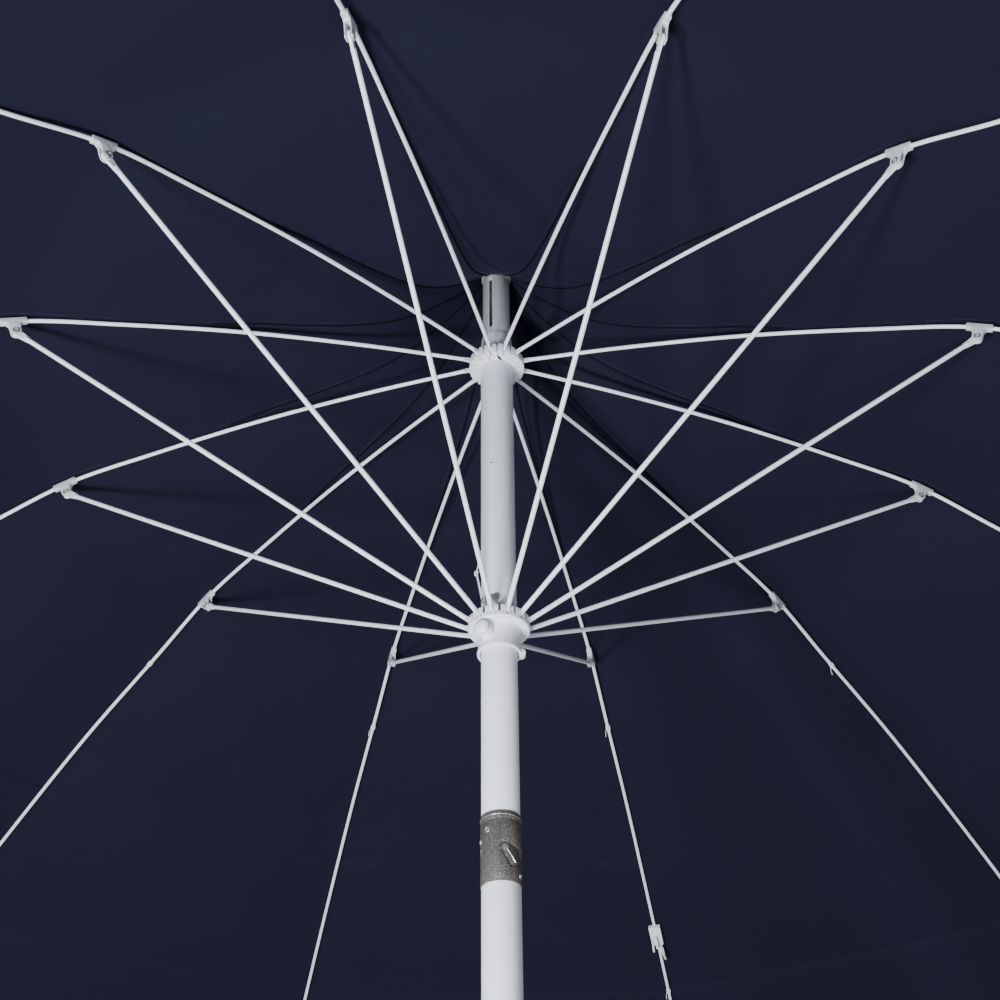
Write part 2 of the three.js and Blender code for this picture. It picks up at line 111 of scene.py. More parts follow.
class Board:
    """A node tree that nodes are put on."""

    def __init__(self, tree):
        self.tree = tree

    def node(self, kind, settings=None, inputs=None, output=0):
        made = self.tree.nodes.new(kind)
        for key, value in (settings or {}).items():
            setattr(made, key, value)
        for key, value in (inputs or {}).items():
            self.feed(made.inputs[key], value)
        return Wire(self, made.outputs[output])

    def feed(self, socket, value):
        if isinstance(value, Wire):
            self.tree.links.new(value.socket, socket)
        else:
            socket.default_value = value

    def mixed(self, share, first, second):
        settings = {"data_type": "RGBA"}
        colors = [c if isinstance(c, Wire) else (*c, 1.0) for c in (first, second)]
        return self.node("ShaderNodeMix", settings, {0: share, 6: colors[0], 7: colors[1]}, 2)

    def noise(self, place, scale, detail=2.0, stretch=None, roughness=0.5):
        if stretch:
            place = self.node("ShaderNodeMapping", None, {"Vector": place, "Scale": stretch})
        inputs = {"Vector": place, "Scale": scale, "Detail": detail, "Roughness": roughness}
        return self.node("ShaderNodeTexNoise", None, inputs)

    def cells(self, place, scale, feature="F1"):
        inputs = {"Vector": place, "Scale": scale}
        return self.node("ShaderNodeTexVoronoi", {"feature": feature}, inputs, "Distance")


class Finish(Board):
    """A material with one Principled shader, read on Object coordinates or on UV."""

    def __init__(self, name, place="Object", **constants):
        self.material = bpy.data.materials.new(name)
        self.material.use_nodes = True
        super().__init__(self.material.node_tree)
        self.shader = self.tree.nodes["Principled BSDF"]
        for key, value in constants.items():
            self.shader.inputs[key.replace("_", " ")].default_value = value
        self.place = self.node("ShaderNodeTexCoord", None, None, place)

    def wear(self, color=None, roughness=None, height=None, strength=0.2, depth=0.0005):
        if color is not None:
            self.feed(self.shader.inputs["Base Color"], color)
        if roughness is not None:
            self.feed(self.shader.inputs["Roughness"], roughness)
        if height is not None:
            inputs = {"Height": height, "Strength": strength, "Distance": depth}
            self.feed(self.shader.inputs["Normal"], self.node("ShaderNodeBump", None, inputs))
        return self.material


def arc(centre, radius, start, end, steps):
    """Points of an arc in degrees, start and end included."""
    angles = np.radians(np.linspace(start, end, steps + 1))
    return [(centre[0] + radius * math.cos(a), centre[1] + radius * math.sin(a)) for a in angles]


def softened(outline, radius, steps=3):
    """A closed outline with each corner off the axis rounded."""
    out = []
    points = [Vector(p) for p in outline]
    for before, corner, after in zip(points[-1:] + points[:-1], points, points[1:] + points[:1]):
        if corner.x <= 0:
            out.append(tuple(corner))
            continue
        reach = min(radius, 0.45 * (before - corner).length, 0.45 * (after - corner).length)
        first = corner + (before - corner).normalized() * reach
        last = corner + (after - corner).normalized() * reach
        for i in range(steps + 1):
            t = i / steps
            out.append(tuple(first * (1 - t) ** 2 + corner * 2 * t * (1 - t) + last * t * t))
    return out


def turned(outline, segments=72, centre=(0.0, 0.0)):
    """Corners and faces of a shape turned about an upright axis, from (radius, height) in mm."""
    count = len(outline)
    corners = []
    for i in range(segments):
        angle = 2 * math.pi * i / segments
        for r, z in outline:
            corners.append((centre[0] + r * math.cos(angle), centre[1] + r * math.sin(angle), z))
    faces = []
    for i in range(segments):
        j = (i + 1) % segments
        for k in range(count):
            m = (k + 1) % count
            if outline[k][0] > 0 or outline[m][0] > 0:
                faces.append((i * count + k, j * count + k, j * count + m, i * count + m))
    return corners, faces


def prism(outline, low, high):
    """Corners and faces of a plate in the XZ plane, from y = low to y = high."""
    count = len(outline)
    corners = [(x, y, z) for y in (low, high) for x, z in outline]
    faces = [tuple(range(count)), tuple(range(2 * count - 1, count - 1, -1))]
    faces += [(i, (i + 1) % count, count + (i + 1) % count, count + i) for i in range(count)]
    return corners, faces


def placed(shape, matrix):
    corners, faces = shape
    return [matrix @ Vector(c) for c in corners], faces


def together(*shapes):
    corners, faces = [], []
    for more, links in shapes:
        faces += [tuple(i + len(corners) for i in link) for link in links]
        corners += list(more)
    return corners, faces


def mesh_of(name, shape, scale=MM):
    corners, faces = shape
    mesh = bpy.data.meshes.new(name)
    mesh.from_pydata([tuple(scale * x for x in c) for c in corners], [], faces)
    clean(mesh)
    return mesh


def clean(mesh, flat=False):
    """Merges doubles, closes collapsed faces and turns all faces outwards."""
    work = bmesh.new()
    work.from_mesh(mesh)
    bmesh.ops.remove_doubles(work, verts=work.verts, dist=1e-6)
    if flat:
        bmesh.ops.dissolve_limit(work, angle_limit=math.radians(1.5), verts=work.verts,
                                 edges=work.edges)
    bmesh.ops.recalc_face_normals(work, faces=work.faces)
    work.to_mesh(mesh)
    work.free()


def creased(mesh, angle=32):
    """Smooth shading that breaks at edges sharper than the angle."""
    work = bmesh.new()
    work.from_mesh(mesh)
    for face in work.faces:
        face.smooth = True
    for edge in work.edges:
        edge.smooth = len(edge.link_faces) == 2 and edge.calc_face_angle() < math.radians(angle)
    work.to_mesh(mesh)
    work.free()


def object_of(name, mesh, finish=None):
    made = bpy.data.objects.new(name, mesh)
    bpy.context.scene.collection.objects.link(made)
    if finish:
        mesh.materials.clear()
        mesh.materials.append(finish)
    return made


def settled(piece):
    """Puts the result of a piece's modifiers into its mesh, and takes the modifiers off."""
    seen = piece.evaluated_get(bpy.context.evaluated_depsgraph_get())
    mesh = bpy.data.meshes.new_from_object(seen)
    piece.modifiers.clear()
    piece.data = mesh
    return piece


def beveled(piece, width, steps=2, angle=35):
    if width:
        bevel = piece.modifiers.new("bevel", "BEVEL")
        bevel.width = width * MM
        bevel.segments = steps
        bevel.limit_method = "ANGLE"
        bevel.angle_limit = math.radians(angle)
        settled(piece)
    creased(piece.data)
    return piece


def cut(piece, *tools):
    """Takes the tools out of a piece."""
    for tool in tools:
        knife = object_of("knife", tool)
        part = piece.modifiers.new("cut", "BOOLEAN")
        part.object, part.operation, part.solver = knife, "DIFFERENCE", "EXACT"
        settled(piece)
        bpy.data.objects.remove(knife)
    return piece


def fitted(piece, body, slot, *nodes):
    """Hands a finished piece to the frame under its body and hides the CAD nodes it stands for; the
    slot is not used.
    """
    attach(piece, body)
    if nodes:
        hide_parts(*nodes)
    return piece


def copied(node, name, finish, bevel=0.3, steps=2):
    """A CAD node's own shape with its edges rounded, as a new piece."""
    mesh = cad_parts[node].data.copy()
    mesh.name = name
    clean(mesh, flat=True)
    return beveled(object_of(name, mesh, finish), bevel, steps)


rubber = Finish("black_rubber", Roughness=0.82, Specular_IOR_Level=0.3)
grain = rubber.noise(rubber.place, 900.0, 3.0)
black_rubber = rubber.wear(rubber.mixed(grain, (0.012, 0.012, 0.012), (0.03, 0.03, 0.029)),
                           grain * 0.12 + 0.74, grain, 0.25, 0.0004)

stone = Finish("cast_stone", Specular_IOR_Level=0.35)
cloud = stone.noise(stone.place, 9.0, 5.0)
sand = stone.noise(stone.place, 700.0, 3.0, roughness=0.7)
pebbles = stone.cells(stone.place, 260.0)
pores = stone.noise(stone.place, 210.0, 2.0) > 0.66
stone_color = stone.mixed(cloud, (0.25, 0.245, 0.23), (0.37, 0.36, 0.335))
stone_color = stone.mixed(sand * 0.6, stone_color, (0.17, 0.165, 0.155))
stone_color = stone.mixed(pores * 0.55, stone_color, (0.08, 0.078, 0.072))
cast_stone = stone.wear(stone_color, 0.95 - cloud * 0.2,
                        sand * 0.5 + pebbles * 0.4 - pores * 0.6, 0.55, 0.0012)

PAD_OUTLINE = [(200, 0), (252, 0), (252, 4), (246, 4), (245, 2.8), (207, 2.8), (206, 4), (200, 4)]
pad_mesh = mesh_of("pad_ring", turned(softened(PAD_OUTLINE, 0.7), 96))
pad = object_of("pad_ring", pad_mesh, black_rubber)
creased(pad.data)
fitted(pad, "base", "black_rubber", "base_pad")

PLATE_OUTLINE = [(0, 4.3), (256, 4.3), (260, 9), (260, 40), *arc((244, 40), 16, 12, 78, 6),
                 (226, 58.4), (222, 57.2), (218, 59.2), (74, 75.4), (60, 76), (24.5, 76),
                 (24.5, 19.7), (0, 19.7)]
plate_mesh = mesh_of("stone_plate", turned(softened(PLATE_OUTLINE, 2.0), 128))
plate = object_of("stone_plate", plate_mesh, cast_stone)
creased(plate.data)
fitted(plate, "base", "cast_stone", "base_plate")

# Socket: a steel tube with a welded flange, let into the stone and held by six screws.
# A moulded bush steadies the mast, and a five-lobed knob clamps it through a threaded boss.
steel_paint = Finish("white_powder_coat", Coat_Weight=0.12, Coat_Roughness=0.25)
dust = steel_paint.noise(steel_paint.place, 16.0, 4.0)
peel = steel_paint.noise(steel_paint.place, 520.0, 1.0)
white_steel = steel_paint.wear(
    steel_paint.mixed(dust, (0.77, 0.795, 0.86), (0.84, 0.86, 0.915)),
    peel * 0.1 + 0.3 + dust * 0.08, peel, 0.16, 0.0003)

moulded = Finish("dark_moulded_plastic", Specular_IOR_Level=0.4)
pebble = moulded.noise(moulded.place, 1100.0, 2.0)
dark_plastic = moulded.wear(moulded.mixed(pebble, (0.018, 0.018, 0.02), (0.035, 0.035, 0.04)),
                            pebble * 0.15 + 0.42, pebble, 0.2, 0.0003)

plated = Finish("bright_plated_steel", Metallic=0.8)
brush = plated.noise(plated.place, 60.0, 3.0, stretch=(4.0, 4.0, 60.0))
bright_steel = plated.wear(plated.mixed(brush, (0.48, 0.48, 0.47), (0.68, 0.68, 0.66)),
                           brush * 0.2 + 0.2, brush, 0.06, 0.0002)


def tree_of(name, **inputs):
    """An empty geometry tree with named inputs, and its board."""
    kinds = {int: "NodeSocketInt", float: "NodeSocketFloat"}
    tree = bpy.data.node_groups.new(name, "GeometryNodeTree")
    tree.interface.new_socket("Geometry", in_out="INPUT", socket_type="NodeSocketGeometry")
    for key, value in inputs.items():
        added = tree.interface.new_socket(key, in_out="INPUT", socket_type=kinds[type(value)])
        added.default_value = value
    tree.interface.new_socket("Material", in_out="INPUT", socket_type="NodeSocketMaterial")
    tree.interface.new_socket("Geometry", in_out="OUTPUT", socket_type="NodeSocketGeometry")
    board = Board(tree)
    return tree, board, board.node("NodeGroupInput")


def closed_tree(board, given, geometry):
    """Ends a tree in Realize Instances and Set Material."""
    plain = board.node("GeometryNodeRealizeInstances", None, {0: geometry})
    painted = board.node("GeometryNodeSetMaterial", None,
                         {"Geometry": plain, "Material": given.part("Material")})
    ending = board.tree.nodes.new("NodeGroupOutput")
    board.tree.links.new(painted.socket, ending.inputs[0])


def grown(tree, name, mesh, finish, **values):
    """The plain mesh that a tree makes from a start mesh."""
    carrier = object_of(name, mesh)
    modifier = carrier.modifiers.new(tree.name, "NODES")
    modifier.node_group = tree
    for item in tree.interface.items_tree:
        if item.item_type == "SOCKET" and item.in_out == "INPUT":
            if item.name == "Material":
                modifier[item.identifier] = finish
            elif item.name in values:
                modifier[item.identifier] = values[item.name]
    settled(carrier)
    made = carrier.data
    bpy.data.objects.remove(carrier)
    made.materials.clear()
    if finish:
        made.materials.append(finish)
    made.name = name
    return made


# Copies of the start mesh, spaced round the upright axis.
ring_tree, board, given = tree_of("copies_round_axis", Count=6, Start=0.0)
line = board.node("GeometryNodeMeshLine", None,
                  {"Count": given.part("Count"), "Offset": (0.0, 0.0, 0.0)})
number = board.node("GeometryNodeInputIndex")
full_turn = board.node("ShaderNodeMath", {"operation": "DIVIDE"},
                       {0: 2 * math.pi, 1: given.part("Count")})
spin = board.node("ShaderNodeCombineXYZ", None, {"Z": number * full_turn + given.part("Start")})
copies = board.node("GeometryNodeInstanceOnPoints", None,
                    {"Points": line, "Instance": given.part("Geometry"), "Rotation": spin})
closed_tree(board, given, copies)


def joined(piece, *meshes):
    """Adds plain meshes to a piece, which keeps one material."""
    work = bmesh.new()
    work.from_mesh(piece.data)
    for mesh in meshes:
        work.from_mesh(mesh)
    work.to_mesh(piece.data)
    work.free()
    return piece


SCREW_HEAD = [(0, 79.5), (4.4, 79.5), (4.4, 80.2), (3.4, 82.0), (1.6, 82.8), (0, 83.0)]
SCREW_CIRCLE_R = 46
screw = mesh_of("flange_screw", turned(softened(SCREW_HEAD, 0.5), 20, (SCREW_CIRCLE_R, 0)))
socket = copied("base_socket", "socket_tube", white_steel, 0.5)
joined(socket, grown(ring_tree, "flange_screws", screw, white_steel, Count=6, Start=0.26))
creased(socket.data)
fitted(socket, "base", "white_steel", "base_socket")
fitted(copied("base_bush", "socket_bush", dark_plastic, 0.5), "base", "dark_plastic", "base_bush")
knob = copied("base_knob", "clamping_knob", dark_plastic, 1.6, 3)
fitted(knob, "clamp_knob", "dark_plastic", "base_knob")

# Lower pole: a 38 mm steel tube, welded along its length, powder coated white, cut square.
# It stands in the bush, and the knuckle's spigot is pressed into its top end.
POLE_R, POLE_BORE_R = 19.0, 17.6


def pole(name, low, high):
    outline = [(POLE_BORE_R, low), (POLE_R, low), (POLE_R, high), (POLE_BORE_R, high)]
    return object_of(name, mesh_of(name, turned(softened(outline, 0.35), 96)), white_steel)


lower_pole = pole("lower_mast_tube", 24, 1637.2)
creased(lower_pole.data)
fitted(lower_pole, "lower_mast", "white_steel", "lower_pole")

# Knuckle: two cast halves with a grey hammer finish, joined by a pin across the mast.
# A small lever on a screw works the latch that holds the lean; a bright bar along it is a painted
# highlight for its lit edge.
cast = Finish("hammer_finish", Metallic=0.55)
dimples = cast.cells(cast.place, 620.0, "SMOOTH_F1")
flecks = cast.noise(cast.place, 1250.0, 2.0) > 0.56
patches = cast.noise(cast.place, 900.0, 3.0, roughness=0.75)
cast_color = cast.mixed(patches, (0.012, 0.011, 0.010), (0.22, 0.205, 0.19))
cast_color = cast.mixed(flecks * 0.5, cast_color, (0.54, 0.51, 0.47))
hammered = cast.wear(cast_color, patches * 0.25 + 0.33, dimples, 0.55, 0.0007)

knuckle = copied("knuckle_body", "knuckle_lower_half", hammered, 0.35)
fitted(knuckle, "lower_mast", "hammered_metal", "knuckle_body")
knuckle_pin = copied("tilt_pin", "knuckle_pin", bright_steel, 0.4)
fitted(knuckle_pin, "lower_mast", "bright_steel", "tilt_pin")
lever = copied("tilt_lever", "latch_lever", hammered, 0.25)
fitted(lever, "lever", "hammered_metal", "tilt_lever")
lever_screw = copied("lever_screw", "latch_screw", bright_steel, 0.2)
fitted(lever_screw, "lower_mast", "bright_steel", "lever_screw")


def aimed(azimuth, height):
    """Turns a shape made along +X at the axis to an azimuth and lifts it."""
    return Matrix.Translation((0, 0, height)) @ Matrix.Rotation(math.radians(azimuth), 4, "Z")


LIE_ALONG_X = Matrix.Rotation(math.radians(90), 4, "Y")

SCREW_SPOTS = [(-133, 1691), (-172, 1683), (-22, 1646)]
SCREW_FACE = [(0, 17.5), (3.1, 17.5), (3.1, 19.9), (2.6, 20.3), (1.7, 20.3), (1.5, 19.7),
              (0, 19.7)]
screw_heads = []
for azimuth, height in SCREW_SPOTS:
    head = placed(turned(softened(SCREW_FACE, 0.2), 20), LIE_ALONG_X)
    screw_heads.append(placed(head, aimed(azimuth, height)))
TILT_Z = 1671.0
LEVER_AZIMUTH = -78
LEVER_R = 19.8
# The path of the bright bar on the lever, a painted highlight along its lit edge.
LEVER_LINE = [(0, 0), (3.6, -4.8), (7.2, -9.6), (10.8, -14.4)]
lever_highlight_line = []
for x, z in LEVER_LINE:
    azimuth = LEVER_AZIMUTH + math.degrees(x / LEVER_R)
    lever_highlight_line.append(aimed(azimuth, TILT_Z + z) @ Vector((19.9, 0, 0)))
screw_mesh = mesh_of("knuckle_screws", together(*screw_heads))
screws = object_of("knuckle_screws", screw_mesh, bright_steel)
creased(screws.data)
fitted(screws, "lower_mast", "bright_steel")
seam_ring = arc((19.85, 1705.0), 0.35, 0, 324, 9)
seam_ring = object_of("knuckle_seam", mesh_of("knuckle_seam", turned(seam_ring, 96)), bright_steel)
creased(seam_ring.data, 60)
fitted(seam_ring, "upper_mast", "bright_steel")
cap = copied("knuckle_cap", "knuckle_upper_half", hammered, 0.35)
fitted(cap, "upper_mast", "hammered_metal", "knuckle_cap")

# Upper pole: the same tube, drilled for the stop pin and slotted for the spring catch.
# The slot is punched with round ends, and the paint covers its edges.
HUB_Z = 2300.0


def drill(radius, azimuth, height, start=10.0, end=25.0, sides=24):
    outline = [(0, start), (radius, start), (radius, end), (0, end)]
    shape = placed(turned(outline, sides), LIE_ALONG_X)
    return mesh_of("drill", placed(shape, aimed(azimuth, height)))


upper_pole = pole("upper_mast_tube", 1709.8, 2299.7)
slot_outline = arc((0, -79), 3, 180, 360, 8) + arc((0, -1), 3, 0, 180, 8)
slot_shape = prism(slot_outline, 10, 25)
slot_turn = aimed(179, 2036) @ Matrix.Rotation(math.radians(-90), 4, "Z")
cut(upper_pole, drill(2.4, -104, 1955), drill(1.6, -113, HUB_Z - 157),
    mesh_of("slot", placed(slot_shape, slot_turn)))
creased(upper_pole.data)
fitted(upper_pole, "upper_mast", "white_steel", "upper_pole")

# Catch and stop pin: a leaf of spring steel that snaps out of the slot, and a plated pin.
# The pin goes through the pole under the runner and hangs on a small ring.
fitted(copied("catch_leaf", "spring_catch", white_steel, 0.3), "catch", "white_steel", "catch_leaf")
fitted(copied("stop_pin", "stop_pin_and_ring", bright_steel, 0.25), "stop_pin", "bright_steel",
       "stop_pin")

# Runner: moulded in white plastic with a toothed crown, a thumb button and a lug for the cord.
# Its crown carries the stretchers on a ring of wire laid in a groove.
shell = Finish("white_moulded_plastic", Coat_Weight=0.05, Specular_IOR_Level=0.45)
bloom = shell.noise(shell.place, 40.0, 4.0)
fine = shell.noise(shell.place, 1300.0, 1.0)
white_plastic = shell.wear(shell.mixed(bloom, (0.76, 0.775, 0.83), (0.83, 0.845, 0.89)),
                           fine * 0.12 + 0.38, fine, 0.1, 0.0002)


def radial_cutter(inner, outer, width, low, high):
    outline = [(inner, low), (outer, low), (outer, high), (inner, high)]
    return mesh_of("tooth_gap", prism(outline, -width / 2, width / 2))


def wire_ring(name, height):
    """The wire that the blades of the ribs or stretchers turn on."""
    outline = arc((28, height), 0.8, 0, 324, 9)
    made = object_of(name, mesh_of(name, turned(outline, 96)), bright_steel)
    creased(made.data)
    return made


def toothed(node, name, gaps):
    """A CAD ring with more gaps cut between its teeth, and all edges rounded."""
    made = copied(node, name, white_plastic, 0)
    cut(made, *gaps)
    clean(made.data, flat=True)
    return beveled(made, 0.35)


RUNNER_Z = HUB_Z - 368.0
GAP_START = math.radians(7.5)
gap_cutter = radial_cutter(27.6, 36, 2.6, RUNNER_Z - 1.6, RUNNER_Z + 9)
window_cutter = radial_cutter(30.9, 36, 1.5, RUNNER_Z - 4.4, RUNNER_Z + 1.2)
runner_gaps = [
    grown(ring_tree, "runner_gaps", gap_cutter, None, Count=12, Start=0.0),
    grown(ring_tree, "runner_windows", window_cutter, None, Count=24, Start=GAP_START)]
runner = toothed("runner", "runner_body", runner_gaps)
fitted(runner, "runner", "white_plastic", "runner")
fitted(wire_ring("stretcher_wire", RUNNER_Z), "runner", "bright_steel", "runner_wire")
BUTTON_CAP = [(0, 25.4), (7.1, 25.4), (7.1, 30.7), (9.2, 30.8), (9.2, 32.2), (8.4, 34.0),
              (6.6, 35.5), (4.2, 36.5), (1.6, 36.9), (0, 36.9)]
BUTTON_AZIMUTH, BUTTON_DROP = -127, 17
button_shape = placed(turned(softened(BUTTON_CAP, 0.8), 40), LIE_ALONG_X)
button_shape = placed(button_shape, aimed(BUTTON_AZIMUTH, RUNNER_Z - BUTTON_DROP))
button = object_of("thumb_button", mesh_of("thumb_button", button_shape), white_plastic)
creased(button.data, 45)
fitted(button, "button", "white_plastic", "runner_button")

# Hub: a moulded crown pressed into the top of the pole, toothed like the runner.
# The ribs turn on its wire, and a collar and an aluminium tube carry the cloth's peak.
hub_gaps = [grown(ring_tree, "hub_gaps", radial_cutter(20.6, 36, 1.5, HUB_Z - 1, HUB_Z + 1.9),
                  None, Count=24, Start=GAP_START)]
hub = toothed("hub", "crown_hub", hub_gaps)
fitted(hub, "upper_mast", "white_plastic", "hub")
fitted(wire_ring("rib_wire", HUB_Z + 8), "upper_mast", "bright_steel", "hub_wire")

drawn = Finish("satin_aluminium", Metallic=0.25)
streaks = drawn.noise(drawn.place, 40.0, 4.0, stretch=(30.0, 30.0, 0.8))
grey_aluminium = drawn.wear(drawn.mixed(streaks, (0.52, 0.53, 0.56), (0.68, 0.69, 0.72)),
                            streaks * 0.2 + 0.3, streaks, 0.08, 0.0002)
collar = copied("hub_collar", "crown_collar", white_plastic, 0.3)
cut(collar, drill(1.5, -112, HUB_Z + 22, 17.5, 24))
creased(collar.data)
fitted(collar, "upper_mast", "white_plastic", "hub_collar")
fitted(copied("top_tube", "crown_tube", grey_aluminium, 0.2), "upper_mast", "grey_aluminium",
       "top_tube")

# Finial: a turned plastic knob on a flat washer that clamps the peak of the cloth.
# It is moulded in white and screwed down on the crown tube.
FINIAL_Z = HUB_Z + 155.0
finial_outline = [(0, FINIAL_Z), (27, FINIAL_Z), (27, FINIAL_Z + 2.4), (24, FINIAL_Z + 5),
                  (13, FINIAL_Z + 8), (9, FINIAL_Z + 11), (8, FINIAL_Z + 14.5)]
finial_outline += arc((0, FINIAL_Z + 29), 15.9, -58, 86, 16) + [(0, FINIAL_Z + 44.9)]
finial = object_of("finial_knob", mesh_of("finial_knob", turned(softened(finial_outline, 0.8), 64)),
                   white_plastic)
creased(finial.data)
fitted(finial, "upper_mast", "white_plastic", "finial")

# Ribs: twelve spring-steel rods, flattened at the hub end and white powder coated.
# Each is sprung into its curve by the cloth and turns on the hub's wire.
FIRST_RIB = -15.0
RIB_NAMES = [f"{i:02d}" for i in range(1, 13)]
RIVET = (546.0, -79.0)
RIB_LINE = [(40, 8), (150, 1), (300, -15), (440, -39), (546, -62), (650, -108), (800, -173),
            (950, -252), (1100, -338), (1345, -490)]


def line_through(points, steps=12):
    """A smooth line through the points, with the same number of steps between each two."""
    p = [np.array(q, float) for q in points]
    p = [2 * p[0] - p[1]] + p + [2 * p[-1] - p[-2]]
    out = []
    for i in range(1, len(p) - 2):
        a, b, c, d = p[i - 1:i + 3]
        knots = np.cumsum([0] + [math.sqrt(np.linalg.norm(v - u)) for u, v in
                                 ((a, b), (b, c), (c, d))])
        for k in range(steps + (i == len(p) - 3)):
            t = knots[1] + (knots[2] - knots[1]) * k / steps
            level = [a, b, c, d]
            for span in (1, 2):
                level = [
                    u + (v - u) * (t - knots[j]) / (knots[j + 1] - knots[j]) if span == 1 else
                    u + (v - u) * (t - knots[j]) / (knots[j + 2] - knots[j])
                    for j, (u, v) in enumerate(zip(level, level[1:]))]
            out.append(level[0] + (level[1] - level[0]) * (t - knots[1]) / (knots[2] - knots[1]))
    return np.array(out)


rib_line = line_through(RIB_LINE)

# A round bar along the edges of the start mesh.
rod_tree, board, given = tree_of("bar_on_path", Radius=0.0024, Sides=12)
path = board.node("GeometryNodeMeshToCurve", None, {"Mesh": given.part("Geometry")})
circle = board.node("GeometryNodeCurvePrimitiveCircle", None,
                    {"Resolution": given.part("Sides"), "Radius": given.part("Radius")})
bar = board.node("GeometryNodeCurveToMesh", None,
                 {"Curve": path, "Profile Curve": circle, "Fill Caps": True})
closed_tree(board, given, bar)


def path_mesh(points):
    mesh = bpy.data.meshes.new("path")
    mesh.from_pydata([tuple(MM * x for x in p) for p in points],
                     [(i, i + 1) for i in range(len(points) - 1)], [])
    return mesh


def rod(name, points, radius, finish, sides=12):
    return grown(rod_tree, name, path_mesh(points), finish, Radius=radius * MM, Sides=sides)


def eye(radius, length, half_height):
    """A flat end with a round eye about (0, 0), drawn in the XZ plane."""
    return arc((0, 0), radius, 60, 300, 20) + [(length, -half_height), (length, half_height)]


def around(mesh, index, name):
    """A copy of a mesh made for azimuth 0, turned to the rib's own azimuth."""
    made = mesh.copy()
    made.name = name
    made.transform(Matrix.Rotation(math.radians(FIRST_RIB + 30 * index), 4, "Z"))
    return made


# A thin bright steel bar along the knuckle's lever, a painted highlight for the lever's lit edge.
lever_highlight_mesh = rod("lever_edge", lever_highlight_line, 0.55, bright_steel, 8)
lever_edge = object_of("lever_edge", lever_highlight_mesh, bright_steel)
fitted(lever_edge, "lever", "bright_steel")

rib_mesh = rod("rib", [(r, 0, HUB_Z + z) for r, z in rib_line], 2.4, white_steel)
blade = prism(softened(eye(3.5, 16, 2.3), 0.3), -1.1, 1.1)
blade = mesh_of("blade", placed(blade, Matrix.Translation((28, 0, HUB_Z + 8))))
rib_first = object_of("rib_pattern", rib_mesh, white_steel)
joined(rib_first, blade)
clean(rib_first.data)
creased(rib_first.data, 50)
for i, number in enumerate(RIB_NAMES):
    name = "rib_rod_" + number
    rib = object_of(name, around(rib_first.data, i, name), white_steel)
    fitted(rib, "rib_" + number, "white_steel", "rib_" + number)

# Clips: pressed steel saddles pinched round the ribs, with two ears and a hollow rivet.
# Their paint is thinner and greyer than the ribs', and it chips at the rivet.
pressed = Finish("clip_paint", Coat_Weight=0.08, Coat_Roughness=0.3)
chips = pressed.noise(pressed.place, 420.0, 4.0, roughness=0.65)
clip_steel = pressed.wear(pressed.mixed((chips > 0.63) * 0.6, (0.58, 0.60, 0.645),
                                        (0.25, 0.25, 0.26)),
                          chips * 0.2 + 0.3, chips, 0.15, 0.0003)

rivet_place = Matrix.Translation((RIVET[0], 0, HUB_Z + RIVET[1]))
ACROSS = Matrix.Rotation(math.radians(-90), 4, "X")
CLIP_TILT = Matrix.Rotation(math.radians(20), 4, "Y")
CLIP_HALF_WIDTH = 3.6
clip_outline = [(-14.5, 18.9), (-14.5, 13.2), (-8.6, 12.8), (-6.2, 9.5), (-5.7, 0)]
clip_outline += arc((0, 0), 5.7, 190, 350, 14)
clip_outline += [(5.7, 0), (6.2, 9.5), (8.6, 12.8), (14.5, 13.2), (14.5, 18.9)]
saddle = placed(prism(clip_outline, -CLIP_HALF_WIDTH, CLIP_HALF_WIDTH), rivet_place @ CLIP_TILT)
clip_first = object_of("clip_pattern", mesh_of("clip_pattern", saddle), clip_steel)
between = prism([(-40, -20), (40, -20), (40, 11.2), (-40, 11.2)], -2.4, 2.4)
rivet_bore = turned([(0, -6), (2.3, -6), (2.3, 6), (0, 6)], 24)
cut(clip_first, mesh_of("between_ears", placed(between, rivet_place @ CLIP_TILT)),
    mesh_of("rivet_bore", placed(rivet_bore, rivet_place @ ACROSS)))
clean(clip_first.data, flat=True)
beveled(clip_first, 0.35)
RIVET_OUTLINE = [(2.3, -4.5), (3.0, -4.8), (3.9, -4.3), (3.9, -3.5), (2.9, -3.3), (2.9, 3.3),
                 (3.9, 3.5), (3.9, 4.3), (3.0, 4.8), (2.3, 4.5)]
rivet_shape = placed(turned(softened(RIVET_OUTLINE, 0.3), 28), rivet_place @ ACROSS)
rivet_mesh = mesh_of("rivet", rivet_shape)
creased(rivet_mesh)
creased(clip_first.data)
for i, number in enumerate(RIB_NAMES):
    name = "rib_saddle_" + number
    clip = object_of(name, around(clip_first.data, i, name), clip_steel)
    fitted(clip, "rib_" + number, "clip_steel", "rib_clip_" + number)
    name = "clip_rivet_" + number
    rivet = object_of(name, around(rivet_mesh, i, name), bright_steel)
    fitted(rivet, "rib_" + number, "bright_steel")

# Stretchers: straight steel rods flattened to an eye at both ends, white powder coated.
# The outer eye turns on the rivet between the clip's ears, the inner one on the runner's wire.
reach = Vector((28 - RIVET[0], 0, -368 - RIVET[1]))
STRETCHER_LENGTH = reach.length
slope = Matrix.Rotation(-math.atan2(reach.z, reach.x), 4, "Y")
outer_eye = prism(softened(eye(5, 18, 2.6), 0.4), -1.5, 1.5)
inner_eye = placed(prism(softened(eye(3, 14, 2.4), 0.3), -1.1, 1.1),
                   Matrix.Translation((STRETCHER_LENGTH, 0, 0)) @ Matrix.Rotation(math.pi, 4, "Y"))
stretcher_first = object_of("stretcher_pattern", mesh_of("eyes", together(outer_eye, inner_eye)),
                            white_steel)
joined(stretcher_first, rod("bar", [(12, 0, 0), (200, 0, 0), (400, 0, 0),
                                    (STRETCHER_LENGTH - 10, 0, 0)], 2.7, white_steel))
at_rivet = Matrix.Translation((MM * RIVET[0], 0, MM * (HUB_Z + RIVET[1])))
stretcher_first.data.transform(at_rivet @ slope)
creased(stretcher_first.data, 50)
